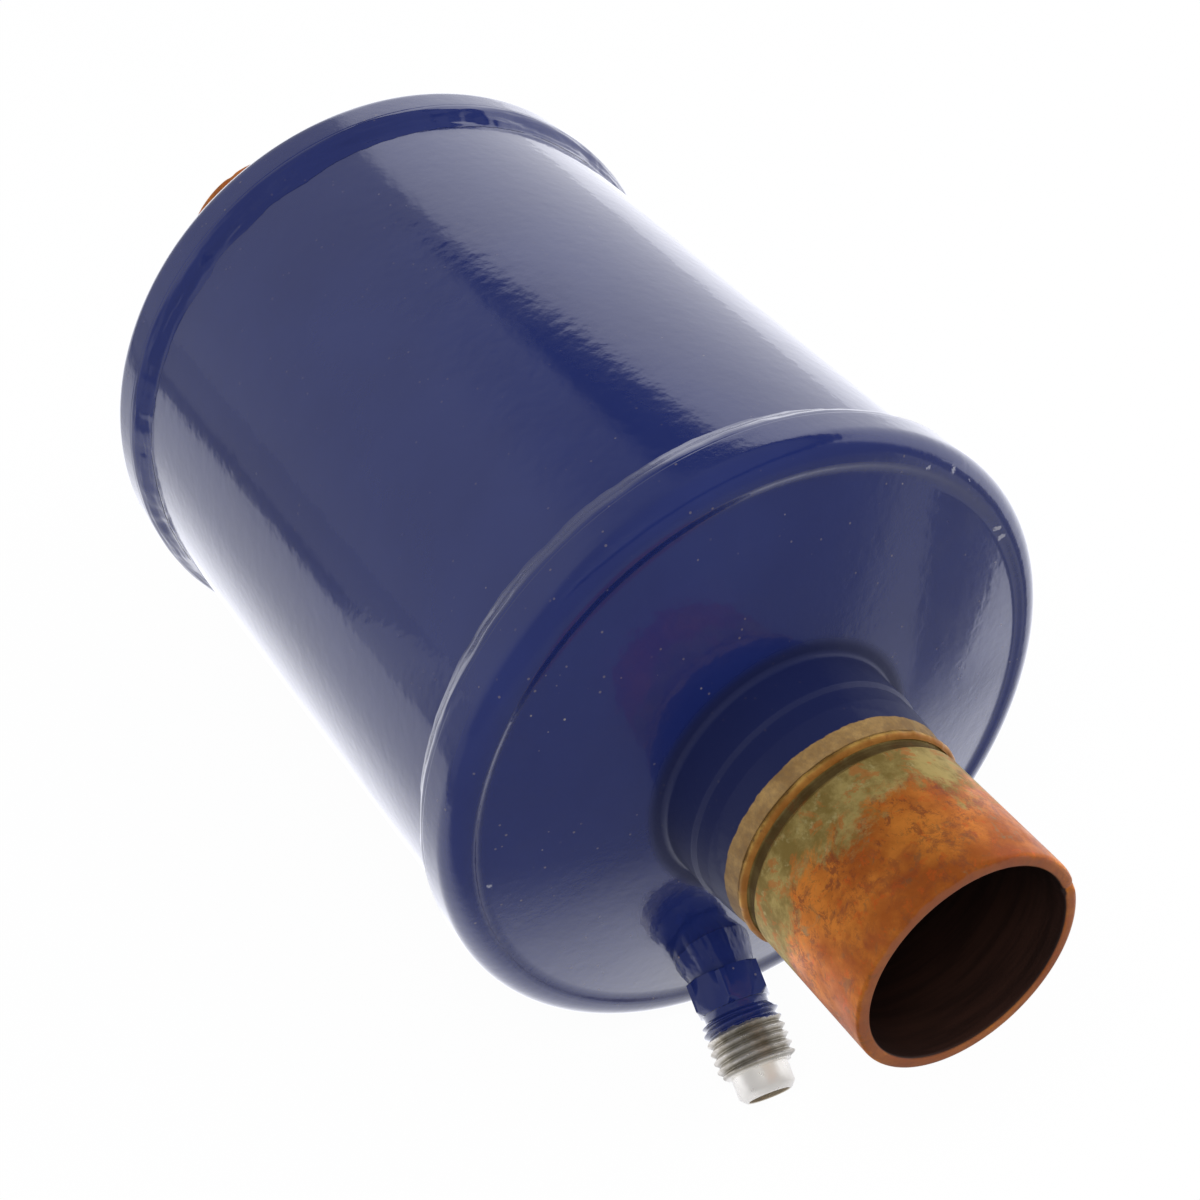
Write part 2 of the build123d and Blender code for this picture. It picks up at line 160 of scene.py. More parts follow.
def lathe(name, path, place, segments, shift):
    """Turned piece about the flow axis. shift(h, r, angle) returns changes of h and r."""
    rows = []
    for h, r in path:
        row = []
        for j in range(segments):
            a = 2 * math.pi * j / segments
            dh, dr = shift(h, r, a)
            row.append((place(h + dh), (r + dr) * math.cos(a), (r + dr) * math.sin(a)))
        rows.append(row)
    return grid_mesh(name, rows)


def inlet(h):
    return INLET_RIM + h


def outlet(h):
    return OUTLET_RIM - h


def around(a, scale, seed, octaves=3):
    """Smooth noise that closes on itself round a circle, about -1 to 1."""
    p = Vector((math.cos(a) * scale, math.sin(a) * scale, seed))
    return noise.fractal(p, 1.0, 2.0, octaves)


def smooth(e0, e1, x):
    t = min(1.0, max(0.0, (x - e0) / (e1 - e0)))
    return t * t * (3 - 2 * t)


# ------------------------------------------------------------------ material helpers
class Tree:
    """Short way to add nodes to a node tree."""

    def __init__(self, tree, coords):
        self.tree = tree
        self.coords = self.add("ShaderNodeTexCoord").outputs[coords]

    def add(self, kind):
        return self.tree.nodes.new(kind)

    def link(self, a, b):
        self.tree.links.new(a, b)

    def ramp(self, value, low, high, to_low=0.0, to_high=1.0):
        """Goes smoothly from to_low where the value is low to to_high where it is high."""
        m = self.add("ShaderNodeMapRange")
        m.interpolation_type = "SMOOTHSTEP"
        if low > high:
            low, high, to_low, to_high = high, low, to_high, to_low
        m.inputs["From Min"].default_value = low
        m.inputs["From Max"].default_value = high
        m.inputs["To Min"].default_value = to_low
        m.inputs["To Max"].default_value = to_high
        self.link(value, m.inputs["Value"])
        return m.outputs["Result"]

    def math(self, op, a, b=None):
        m = self.add("ShaderNodeMath")
        m.operation = op
        for i, v in enumerate((a, b)):
            if v is None:
                continue
            if isinstance(v, (int, float)):
                m.inputs[i].default_value = v
            else:
                self.link(v, m.inputs[i])
        return m.outputs[0]

    def times(self, a, b):
        return self.math("MULTIPLY", a, b)

    def larger(self, a, b):
        return self.math("MAXIMUM", a, b)

    def mix(self, factor, a, b):
        m = self.add("ShaderNodeMix")
        m.data_type = "RGBA"
        for key, v in ((0, factor), (6, a), (7, b)):
            if isinstance(v, (int, float)):
                m.inputs[key].default_value = v
            elif isinstance(v, (tuple, list)):
                m.inputs[key].default_value = (*v, 1.0)
            else:
                self.link(v, m.inputs[key])
        return m.outputs[2]

    def mix_value(self, factor, a, b):
        m = self.add("ShaderNodeMix")
        for key, v in ((0, factor), (2, a), (3, b)):
            if isinstance(v, (int, float)):
                m.inputs[key].default_value = v
            else:
                self.link(v, m.inputs[key])
        return m.outputs[0]

    def axis(self, which, source=None):
        s = self.add("ShaderNodeSeparateXYZ")
        self.link(source or self.coords, s.inputs[0])
        return s.outputs[which]


class Nodes(Tree):
    """A node material."""

    def __init__(self, name):
        self.material = bpy.data.materials.new(name)
        self.material.use_nodes = True
        self.shader = self.material.node_tree.nodes["Principled BSDF"]
        super().__init__(self.material.node_tree, "Object")

    def set(self, **values):
        for k, v in values.items():
            self.shader.inputs[k.replace("_", " ")].default_value = v

    def noise(self, scale, detail=3.0, rough=0.5, stretch=None, distort=0.0, moved=None, vector=None):
        """Noise over the object. `moved` shifts it, so that two layers don't line up."""
        n = self.add("ShaderNodeTexNoise")
        n.inputs["Scale"].default_value = scale
        n.inputs["Detail"].default_value = detail
        n.inputs["Roughness"].default_value = rough
        n.inputs["Distortion"].default_value = distort
        source = vector or self.coords
        if moved:
            source = self.mapped((1, 1, 1), source, moved)
        if stretch:
            source = self.mapped(stretch, source)
        self.link(source, n.inputs["Vector"])
        return n.outputs["Fac"]

    def mapped(self, scale, source, place=(0, 0, 0)):
        m = self.add("ShaderNodeMapping")
        m.inputs["Scale"].default_value = scale
        m.inputs["Location"].default_value = place
        self.link(source, m.inputs["Vector"])
        return m.outputs["Vector"]

    def spots(self, scale, size, soft):
        """1 inside scattered spots of radius `size` cells, 0 outside."""
        v = self.add("ShaderNodeTexVoronoi")
        v.inputs["Scale"].default_value = scale
        v.inputs["Randomness"].default_value = 1.0
        self.link(self.coords, v.inputs["Vector"])
        return self.ramp(v.outputs["Distance"], size + soft, size)

    def from_rim(self, rim, direction):
        """Distance along the flow axis from a rim toward its mouth, in metres."""
        return self.times(self.math("SUBTRACT", self.axis(0), rim * MM), direction)

    def radius(self, first=1, second=2, source=None):
        """Distance from the flow axis, or from the third axis of `source`."""
        u, v = self.axis(first, source), self.axis(second, source)
        return self.math("SQRT", self.math("ADD", self.times(u, u), self.times(v, v)))

    def centred(self, value, width):
        """A 0 to 1 value moved to lie about 0, over `width`."""
        return self.times(self.math("SUBTRACT", value, 0.5), width)

    def bump(self, height, strength, distance, normal=None):
        b = self.add("ShaderNodeBump")
        b.inputs["Strength"].default_value = strength
        b.inputs["Distance"].default_value = distance
        self.link(height, b.inputs["Height"])
        if normal:
            self.link(normal, b.inputs["Normal"])
        return b.outputs["Normal"]

    def colour(self, value):
        self.link(value, self.shader.inputs["Base Color"])

    def rough(self, value):
        self.link(value, self.shader.inputs["Roughness"])

    def metal(self, value):
        self.link(value, self.shader.inputs["Metallic"])

    def normal(self, value, coat=False):
        self.link(value, self.shader.inputs["Normal"])
        if coat:
            self.link(value, self.shader.inputs["Coat Normal"])


def paint_layers(m, peel=1.0, dust=1.0):
    """Colour, roughness and normal of the gloss navy paint."""
    deep = (0.0078, 0.0152, 0.0940)
    worn = (0.0118, 0.0212, 0.1120)
    broad = m.noise(26, 4, 0.6)
    colour = m.mix(m.ramp(broad, 0.3, 0.7), deep, worn)
    motes = m.spots(620, 0.07, 0.07)
    few = m.ramp(m.noise(190, 2), 0.50, 0.60)
    mote = m.times(m.times(motes, few), 0.42 * dust)
    colour = m.mix(mote, colour, (0.20, 0.16, 0.13))
    grit = m.spots(330, 0.035, 0.03)
    rare = m.ramp(m.noise(70, 2), 0.58, 0.63)
    chip = m.times(m.times(grit, rare), 0.7 * dust)
    colour = m.mix(chip, colour, (0.30, 0.26, 0.21))
    haze = m.ramp(m.noise(90, 5, 0.7, stretch=(0.5, 1, 1)), 0.45, 0.8)
    rough = m.mix_value(haze, 0.16, 0.28)
    rough = m.mix_value(m.math("MAXIMUM", mote, chip), rough, 0.7)
    fine = m.noise(640, 2, 0.45)
    wide = m.noise(250, 2, 0.5)
    height = m.math("ADD", m.times(fine, 0.45), m.times(wide, 0.65))
    return colour, rough, m.bump(height, 0.30 * peel, 0.00016)


def blue_paint(name, peel=1.0, dust=1.0, blur=0.03, coat=1.0):
    m = Nodes(name)
    colour, rough, normal = paint_layers(m, peel, dust)
    m.colour(colour)
    m.rough(rough)
    m.normal(normal, coat=True)
    m.set(Coat_Weight=coat, Coat_Roughness=blur, Coat_IOR=1.5, IOR=1.5)
    return m.material


def chipped(m, colour, rough, chips):
    """Small ragged chips at given places, in mm."""
    ragged_edge = m.centred(m.noise(700, 5, 0.85), 0.0030)
    for place, size in chips:
        away = m.add("ShaderNodeVectorMath")
        away.operation = "DISTANCE"
        m.link(m.coords, away.inputs[0])
        away.inputs[1].default_value = Vector(place) * MM
        edge = m.math("ADD", away.outputs["Value"], ragged_edge)
        mark = m.ramp(edge, size * MM, (size - 0.15) * MM)
        colour = m.mix(m.times(mark, 0.6), colour, (0.42, 0.42, 0.47))
        rough = m.mix_value(mark, rough, 0.6)
    return colour, rough


def bare_tan(m):
    """Unpainted, heat-tinted steel."""
    tan = m.mix(m.ramp(m.noise(240, 5, 0.7), 0.3, 0.7), (0.19, 0.104, 0.031), (0.35, 0.215, 0.072))
    grain = m.ramp(m.noise(1500, 3, 0.7), 0.35, 0.7)
    tan = m.mix(m.times(grain, 0.5), tan, (0.16, 0.10, 0.045))
    stain = m.ramp(m.noise(120, 4, 0.7, distort=0.6), 0.58, 0.68)
    return m.mix(m.times(stain, 0.6), tan, (0.30, 0.27, 0.15))


def cap_paint(name, direction, rim, chips):
    """Paint over the cap, with painted shade and a dull coat on the neck, bare tan metal at the end of the
    collar.
    """
    m = Nodes(name)
    colour, rough, normal = paint_layers(m)
    # painted shade: the paint is darkened near the neck, where the dome and the tube shade it; the same
    # mask dulls the coat there
    neck_painted_shade = m.times(m.ramp(m.radius(), 0.0206, 0.0188), 0.8)
    colour = m.mix(neck_painted_shade, colour, (0.0055, 0.0090, 0.0480))
    colour, rough = chipped(m, colour, rough, chips)
    edge = m.math("ADD", m.from_rim(rim, direction), m.centred(m.noise(330, 3, 0.6), 0.0009))
    bare = m.ramp(edge, PAINT_END * MM - 0.00008, PAINT_END * MM + 0.00008)
    m.colour(m.mix(bare, colour, bare_tan(m)))
    rough = m.mix_value(neck_painted_shade, rough, 0.60)
    m.rough(m.mix_value(bare, rough, 0.62))
    m.normal(m.bump(m.noise(1300, 4, 0.7), 0.35, 0.0001, normal))
    m.link(normal, m.shader.inputs["Coat Normal"])
    gloss = m.math("SUBTRACT", 1.0, m.times(neck_painted_shade, 1.1))
    m.link(m.times(gloss, m.math("SUBTRACT", 1.0, bare)), m.shader.inputs["Coat Weight"])
    m.set(Coat_Roughness=0.03, Coat_IOR=1.5, IOR=1.5)
    return m.material


def warm_copper(m, h):
    """Orange tarnish with red, brown and grey-green stains."""
    warm = m.mix(m.ramp(m.noise(95, 6, 0.62), 0.34, 0.66), (0.50, 0.125, 0.018), (0.90, 0.31, 0.045))
    redder = m.ramp(m.noise(70, 5, 0.65, distort=0.8, moved=(3, 1, 2)), 0.52, 0.66)
    warm = m.mix(m.times(redder, 0.65), warm, (0.40, 0.085, 0.026))
    flecks = m.ramp(m.noise(520, 4, 0.7, distort=0.5), 0.55, 0.68)
    warm = m.mix(m.times(flecks, 0.5), warm, (0.24, 0.13, 0.06))
    fire = m.ramp(m.noise(640, 5, 0.75, distort=0.4, moved=(5, 9, 4)), 0.54, 0.64)
    warm = m.mix(m.times(fire, 0.55), warm, (0.74, 0.135, 0.018))
    stains = m.ramp(m.noise(210, 6, 0.78, distort=0.4, moved=(8, 3, 5)), 0.54, 0.66)
    warm = m.mix(m.times(stains, 0.5), warm, (0.27, 0.075, 0.045))
    mottle = m.ramp(m.noise(380, 6, 0.82, distort=0.5, moved=(2, 7, 9)), 0.50, 0.60)
    mottle = m.times(mottle, m.ramp(h, 0.046, 0.036, 0.25, 0.75))
    warm = m.mix(mottle, warm, (0.30, 0.075, 0.030))
    green = m.ramp(m.noise(170, 6, 0.75, distort=0.7, moved=(1, 4, 7)), 0.60, 0.68)
    return m.mix(m.times(green, 0.6), warm, (0.30, 0.26, 0.13))


def olive_copper(m):
    """Olive tarnish with pale and rusty patches."""
    olive = m.mix(m.ramp(m.noise(260, 5, 0.7), 0.35, 0.65), (0.34, 0.235, 0.060), (0.62, 0.47, 0.160))
    pale = m.ramp(m.noise(430, 4, 0.7), 0.56, 0.68)
    olive = m.mix(m.times(pale, 0.5), olive, (0.72, 0.62, 0.28))
    rust = m.ramp(m.noise(330, 5, 0.7, distort=0.6, moved=(6, 2, 3)), 0.54, 0.62)
    return m.mix(m.times(rust, 0.65), olive, (0.66, 0.22, 0.045))


def copper(name, direction, rim, stub):
    """Tarnished tube: olive near the braze, orange beyond, a pink lip, painted shade in the groove and a
    dark painted shade inside.
    """
    m = Nodes(name)
    h = m.from_rim(rim, direction)
    edge = m.centred(m.noise(75, 7, 0.78, distort=0.6), 0.034)
    far = m.ramp(m.math("ADD", h, edge), 0.0315, 0.0365)
    colour = m.mix(far, olive_copper(m), warm_copper(m, h))
    # painted shade: the groove beside the braze ring is painted dark
    groove_painted_shade = m.times(m.ramp(h, 0.02495, 0.02535), m.ramp(h, 0.02650, 0.02610))
    colour = m.mix(m.times(groove_painted_shade, 0.80), colour, (0.070, 0.036, 0.014))
    lip_edge = m.centred(m.noise(300, 4, 0.6), 0.0008)
    lip = m.ramp(m.math("ADD", h, lip_edge), (stub - 0.30) * MM, (stub - 0.05) * MM)
    colour = m.mix(m.times(lip, 0.6), colour, (0.50, 0.185, 0.10))
    # painted shade: the inside of the tube is painted a dark brown, with streaks
    shade_streaks = m.ramp(m.noise(60, 5, 0.7, stretch=(14, 1, 1)), 0.35, 0.65)
    brown = m.mix(shade_streaks, (0.020, 0.009, 0.0065), (0.036, 0.015, 0.010))
    inside = m.ramp(m.radius(), 0.01492, 0.01466)
    inside = m.times(inside, m.ramp(h, (stub - 0.02) * MM, (stub - 0.30) * MM))
    m.colour(m.mix(inside, colour, brown))
    m.metal(m.mix_value(inside, 0.72, 0.30))
    matt = m.mix_value(far, 0.58, m.ramp(m.noise(150, 5, 0.7), 0.3, 0.7, 0.36, 0.56))
    matt = m.mix_value(lip, matt, 0.32)
    m.rough(m.mix_value(inside, matt, 0.5))
    crust = m.bump(m.noise(900, 5, 0.7), 0.35, 0.00009)
    m.normal(m.bump(m.noise(90, 4, 0.6, stretch=(18, 1, 1)), 0.10, 0.00012, crust))
    return m.material


def braze_gold(name):
    m = Nodes(name)
    c = m.mix(m.ramp(m.noise(300, 5, 0.65), 0.35, 0.65), (0.26, 0.125, 0.022), (0.62, 0.36, 0.085))
    c = m.mix(m.ramp(m.noise(900, 3, 0.6), 0.6, 0.7, 0, 0.7), c, (0.10, 0.06, 0.03))
    for rim, direction in ((INLET_RIM, 1), (OUTLET_RIM, -1)):
        h = m.from_rim(rim, direction)
        near = m.ramp(h, 0.0225, 0.0230)
        amber = m.times(m.ramp(h, 0.02455, 0.02500), near)
        c = m.mix(m.times(amber, 0.75), c, (0.38, 0.135, 0.020))
        seam = m.times(m.ramp(h, 0.02428, 0.02406), near)
        c = m.mix(m.times(seam, 0.75), c, (0.075, 0.045, 0.018))
    m.colour(c)
    m.set(Metallic=0.55)
    m.rough(m.ramp(m.noise(500, 4), 0.3, 0.7, 0.34, 0.55))
    m.normal(m.bump(m.noise(700, 4, 0.6), 0.35, 0.0001))
    return m.material


def valve_finish(name):
    """Painted hexagon and first turns, bare plated thread and nose, darker thread roots, painted shade in
    the bore. z runs up the valve.
    """
    m = Nodes(name)
    colour, rough, normal = paint_layers(m, 1.4, 1.2)
    local = m.add("ShaderNodeMapping")
    local.vector_type = "TEXTURE"
    local.inputs["Location"].default_value = VALVE_FRAME.to_translation()
    local.inputs["Rotation"].default_value = VALVE_FRAME.to_euler()
    m.link(m.coords, local.inputs["Vector"])
    local = local.outputs["Vector"]
    z = m.axis(2, local)
    ragged = m.centred(m.noise(420, 3, 0.7), 0.0016)
    bare = m.ramp(m.math("ADD", z, ragged), 0.01165, 0.01185)
    radius = m.radius(0, 1, local)
    plate = m.mix(m.ramp(m.noise(350, 4, 0.6), 0.35, 0.65), (0.48, 0.44, 0.36), (0.78, 0.74, 0.66))
    nose = m.ramp(z, 0.0172, 0.0176)
    plate = m.mix(nose, plate, (0.93, 0.90, 0.83))
    # the thread roots are coloured darker than the crests, away from the nose
    root = m.ramp(radius, 0.00535, 0.00495)
    thread_root_darkening = m.times(root, m.math("SUBTRACT", 1.0, nose))
    plate = m.mix(m.times(thread_root_darkening, 0.55), plate, (0.16, 0.14, 0.09))
    # painted shade: inside the bore the nose is painted a darker brown than its plating
    within = m.ramp(radius, 0.0031, 0.0029)
    plate = m.mix(m.times(within, nose), plate, (0.52, 0.45, 0.33))
    m.colour(m.mix(bare, colour, plate))
    m.metal(m.mix_value(bare, 0.0, m.mix_value(nose, 0.85, 0.55)))
    m.rough(m.mix_value(bare, rough, m.ramp(m.noise(500, 3), 0.3, 0.7, 0.26, 0.42)))
    turned = m.bump(m.noise(200, 3, 0.5, vector=m.mapped((1, 1, 14), local)), 0.15, 0.00005, normal)
    m.normal(turned)
    m.link(m.mix_value(bare, 1.0, 0.0), m.shader.inputs["Coat Weight"])
    m.set(Coat_Roughness=0.04, Coat_IOR=1.5, IOR=1.5)
    return m.material


def plain_metal(name, a, b, rough, grain):
    m = Nodes(name)
    m.colour(m.mix(m.ramp(m.noise(grain, 5, 0.65), 0.3, 0.7), a, b))
    m.set(Metallic=0.9)
    m.rough(m.ramp(m.noise(grain * 1.7, 4), 0.3, 0.7, *rough))
    m.normal(m.bump(m.noise(grain * 3, 4, 0.6), 0.2, 0.00006))
    return m.material


def felt(name):
    m = Nodes(name)
    strands = m.ramp(m.noise(500, 6, 0.75, stretch=(1, 3, 1)), 0.3, 0.7)
    m.colour(m.mix(strands, (0.42, 0.37, 0.29), (0.68, 0.63, 0.54)))
    m.set(Roughness=0.95, Sheen_Weight=0.3, Sheen_Roughness=0.6)
    fibres = m.bump(m.noise(900, 6, 0.8, stretch=(1, 4, 2)), 0.7, 0.0003)
    m.normal(fibres)
    return m.material


def desiccant(name):
    m = Nodes(name)
    grains = m.spots(520, 0.30, 0.25)
    c = m.mix(m.ramp(m.noise(240, 4, 0.7), 0.3, 0.7), (0.36, 0.31, 0.23), (0.58, 0.52, 0.42))
    c = m.mix(m.times(grains, 0.5), c, (0.74, 0.69, 0.60))
    m.colour(c)
    m.set(Roughness=0.9)
    m.normal(m.bump(grains, 0.8, 0.0004))
    return m.material


def rubber(name):
    m = Nodes(name)
    m.colour(m.mix(m.ramp(m.noise(900, 4), 0.3, 0.7), (0.012, 0.012, 0.013), (0.035, 0.034, 0.033)))
    m.rough(m.ramp(m.noise(700, 3), 0.3, 0.7, 0.5, 0.75))
    m.normal(m.bump(m.noise(1800, 3), 0.2, 0.00004))
    return m.material


# ------------------------------------------------------------------ shell
def dome(r):
    return CREST - 0.35 + (CREASE_R - r) * DOME_SLOPE


def put(o, nodes, material):
    o.data.materials.clear()
    o.data.materials.append(material)
    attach(o, "drier")
    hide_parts(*nodes)


shell_material = blue_paint("shell_blue_paint", 1.0, 0.4)
path = [(-0.6, SHELL_R), (100.3, SHELL_R), (100.3, SHELL_R - 2), (-0.6, SHELL_R - 2)]
path = refined([(-p[0], p[1]) for p in path], 4.0)


def shell_shift(h, r, a):
    """The rolled shell is round to within a few hundredths."""
    if r < SHELL_R - 0.1:
        return 0.0, 0.0
    wave = 0.035 * noise.noise(Vector((h * 0.03, math.cos(a) * 2, math.sin(a) * 2)))
    return 0.0, wave - 0.03


shell = lathe("shell_tube_skin", path, inlet, 384, shell_shift)
put(shell, ["shell_tube"], shell_material)

# ------------------------------------------------------------------ end caps
DOME_SWELL = 0.22
foot = dome(NECK_R)
dome_line = []
for k in range(1, 11):
    f = k * 0.08
    r = CREASE_R + (NECK_R - CREASE_R) * f
    dome_line.append((dome(r) + DOME_SWELL * 4 * f * (1 - f), r))
inner_foot = dome(NECK_BORE) - 1.786
inner_corner = dome(SKIRT_BORE) - 1.786
CAP = [
    (-4.2, SKIRT_BORE),
    (-4.2, RIM_R - 0.95),
    (-3.0, RIM_R - 0.10),
    (-2.4, RIM_R, 0.4),
    (CREST, RIM_R, 3.2),
    (CREST, CREASE_R + 1.1, 1.8),
    (CREST - 0.38, CREASE_R, 2.5),
    *dome_line,
    (foot, NECK_R, 0.9),
    (14.9, NECK_R, 0.35),
    (15.5, COLLAR_R, 0.3),
    (18.2, COLLAR_R, 0.5),
    (COLLAR_END, COLLAR_TIP_R, 0.15),
    (COLLAR_END, NECK_BORE),
    (inner_foot, NECK_BORE, 2.5),
    (inner_corner, SKIRT_BORE, 1.2),
]


def cap_shift(seed):
    def shift(h, r, a):
        bare = smooth(20.9, 21.7, h) * smooth(16.3, 16.45, r)
        lump = 0.10 * around(a, 5.0, seed + h * 0.25) * bare
        press = 0.05 * around(a, 1.2, seed + 9 + r * 0.03) * smooth(19.0, 24.0, r) * smooth(44.0, 40.0, r)
        return press, lump * 0.8 - 0.02 * bare
    return shift


cap_path = refined(rounded(CAP, 6.0), 1.6)
RIM_CHIPS = (((-44.5, 23.2, 36.6), 0.25), ((-44.7, 27.4, 34.5), 0.35), ((-44.7, 30.4, 31.9), 0.20),
             ((-44.7, 35.9, 22.1), 0.55), ((-44.6, 37.1, 20.4), 0.45), ((-44.7, -40.5, -4.8), 0.40))
for name, place, rim, sign, seed, chips in (
    ("inlet_end_cap", inlet, INLET_RIM, 1, 1.0, RIM_CHIPS),
    ("outlet_end_cap", outlet, OUTLET_RIM, -1, 5.0, ()),
):
    o = lathe(name + "_pressing", cap_path, place, 360, cap_shift(seed))
    put(o, [name], cap_paint(name + "_paint", sign, rim, chips))


# ------------------------------------------------------------------ girth welds
WELD_SEGMENTS = 900
WELD_STEPS = 26
WELD_LAND = 4
WELD_SHARP = 70.0
WELD_ROOT = ((-2.0, SKIRT_BORE + 1.0), (-4.2, SKIRT_BORE), (-6.2, SHELL_R - 0.05))


def weld_rows(place, seed, rough):
    """A convex bead from the shell up to the skirt, with slow lumps drawn out along its run."""
    rows = [[] for _ in range(WELD_STEPS + len(WELD_ROOT))]
    for j in range(WELD_SEGMENTS):
        a = 2 * math.pi * j / WELD_SEGMENTS
        toe = -6.6 - 0.50 * rough * around(a, 5.0, seed) - 0.13 * rough * around(a, 20.0, seed + 3)
        crown = -3.1 + 0.30 * around(a, 6.0, seed + 7)
        soft = 0.42 + 0.22 * rough * around(a, 4.0, seed + 11)
        for i in range(WELD_STEPS):
            f = i / (WELD_STEPS - WELD_LAND)
            if f <= 1.0:
                h = toe + (crown - toe) * f
                climb = f - soft * math.sin(2 * math.pi * f) / (2 * math.pi)
                r = SHELL_R + (RIM_R - 0.03 - SHELL_R) * climb
            else:
                h = crown + (i - WELD_STEPS + WELD_LAND) * 0.45
                r = RIM_R - 0.03
            place_in_noise = Vector((h * 0.9, math.cos(a) * 5, math.sin(a) * 5 + seed))
            lump = noise.fractal(place_in_noise, 1.0, 2.0, 3)
            edge = math.sin(math.pi * min(1.0, f)) if f < 1.0 else 0.0
            r = min(r + edge * 0.16 * rough * lump, RIM_R - 0.01)
            rows[i].append((place(h), r * math.cos(a), r * math.sin(a)))
        for i, (h, r) in enumerate(WELD_ROOT, WELD_STEPS):
            rows[i].append((place(h), r * math.cos(a), r * math.sin(a)))
    return rows


weld_material = blue_paint("weld_blue_paint", 0.4, 0.4, 0.11)
for name, place, seed, rough in (
    ("inlet_girth_weld", inlet, 2.0, 0.8),
    ("outlet_girth_weld", outlet, 14.0, 1.5),
):
    o = grid_mesh(name + "_bead", weld_rows(place, seed, rough), WELD_SHARP)
    put(o, [name], weld_material)


# ------------------------------------------------------------------ copper tubes
def tube_path(stub):
    outer = rounded([
        (10.2, TUBE_BORE), (10.2, TUBE_R), (24.9, TUBE_R, 0.5), (25.5, TUBE_R - 0.65, 0.3),
        (26.3, TUBE_R - 0.65, 0.3), (26.9, TUBE_R, 0.5), (stub, TUBE_R, 0.75),
        (stub, TUBE_BORE, 0.60), (26.9, TUBE_BORE, 0.5), (26.3, TUBE_BORE - 0.65, 0.3),
        (25.5, TUBE_BORE - 0.65, 0.3), (24.9, TUBE_BORE, 0.5),
    ], 12.0)
    return refined(outer, 2.0)


def tube_shift(stub, seed, nick):
    def shift(h, r, a):
        near = smooth(stub - 2.2, stub, h)
        dent = 0.05 * around(a, 2.0, seed) * near
        gap = (a - nick + math.pi) % (2 * math.pi) - math.pi
        bite = 0.32 * math.exp(-(gap * 16 / 0.7) ** 2) * smooth(stub - 1.0, stub - 0.2, h)
        return -bite, dent * 0.4 - 0.02 * near - bite * 0.25 * (1 if r > 15.3 else -1)
    return shift


for name, place, rim, sign, stub, seed, nick in (
    ("inlet_tube", inlet, INLET_RIM, 1, INLET_STUB, 3.0, 0.35),
    ("outlet_tube", outlet, OUTLET_RIM, -1, OUTLET_STUB, 8.0, 2.0),
):
    o = lathe(name + "_copper", tube_path(stub), place, 300, tube_shift(stub, seed, nick))
    put(o, [name], copper(name + "_tarnish_and_shade", sign, rim, stub))


def ring_shift(seed):
    def shift(h, r, a):
        if r < TUBE_R + 0.05:
            return 0.0, 0.0
        return 0.10 * around(a, 7.0, seed), 0.11 * around(a, 9.0, seed + 4) - 0.02
    return shift


ring_path = [(23.84, TUBE_R + 0.02), (23.88, TUBE_R + 0.12), (24.00, TUBE_R + 0.36), (24.25, TUBE_R + 0.60),
             (24.55, TUBE_R + 0.66), (24.85, TUBE_R + 0.56), (25.08, TUBE_R + 0.32), (25.25, TUBE_R - 0.05),
             (24.8, TUBE_R - 0.1), (24.0, TUBE_R - 0.1)]
gold = braze_gold("braze_gold")
for name, place, seed in (("inlet_braze_ring", inlet, 4.0), ("outlet_braze_ring", outlet, 6.0)):
    o = lathe(name + "_fillet", refined(ring_path, 0.4), place, 480, ring_shift(seed))
    put(o, [name], gold)

# ------------------------------------------------------------------ access valve
side = VALVE_DIR.cross(Vector((1, 0, 0))).normalized()
other = VALVE_DIR.cross(side)
VALVE_TURN = Matrix((side, other, VALVE_DIR)).transposed()
VALVE_FRAME = Matrix.Translation(VALVE_BASE * MM) @ VALVE_TURN.to_4x4()
HEX_R = 5.1
HEX_TURN = math.radians(35.0)
VALVE_SEGMENTS = 216
VALVE_SHARP = 42.0
THREAD_START = 9.5
THREAD_LENGTH = 8.1
THREAD_STEP = 0.053


def hexagon(a):
    k = (a - HEX_TURN + math.pi / 6) % (math.pi / 3) - math.pi / 6
    return HEX_R / math.cos(k)


def on_valve(x, y, t):
    """Point in the row's own millimetres of a point given about the valve's axis."""
    return VALVE_BASE + VALVE_TURN @ Vector((x, y, t))


def thread(t, a):
    """Radius of the thread at height t and angle a."""
    turn = (t - 9.7) / THREAD_PITCH - a / (2 * math.pi)
    wave = abs((turn % 1.0) * 2 - 1)
    flat = min(1.0, max(0.0, (wave - 0.10) / 0.78))
    fade = smooth(9.5, 10.3, t) * smooth(17.7, 17.0, t)
    crest = 4.66 + 0.84 * min(smooth(9.5, 10.1, t), smooth(17.6, 16.9, t))
    return crest - 0.60 * (1 - flat) * fade


outer = [(-3.4, 3.5, ""), (3.6, 3.5, ""), (3.6, 5.2, "hex"), (3.9, 5.95, "hex"), (7.8, 5.95, "hex"),
         (8.5, 5.05, "hex"), (8.55, 4.75, ""), (8.9, 4.6, ""), (9.45, 4.6, "")]
for k in range(int(THREAD_LENGTH / THREAD_STEP) + 1):
    outer.append((THREAD_START + THREAD_STEP * k, 0.0, "thread"))
outer += [(17.65, 4.05, ""), (19.0, 4.05, ""), (20.4, 4.04, ""), (20.6, 3.92, ""), (21.18, 3.35, ""),
          (21.28, 3.2, ""), (21.28, 2.95, ""), (21.2, 2.85, ""), (19.1, 2.85, ""), (19.1, 2.6, ""),
          (6.8, 2.6, ""), (6.8, 1.5, ""), (-3.4, 1.5, "")]
rows = []
for t, r, kind in outer:
    row = []
    for j in range(VALVE_SEGMENTS):
        a = 2 * math.pi * j / VALVE_SEGMENTS + HEX_TURN
        rr = thread(t, a) if kind == "thread" else min(r, hexagon(a)) if kind == "hex" else r
        row.append(on_valve(rr * math.cos(a), rr * math.sin(a), t))
    rows.append(row)
valve = grid_mesh("access_valve_stem", rows, VALVE_SHARP)
put(valve, ["access_valve_body"], valve_finish("valve_plate_and_paint"))

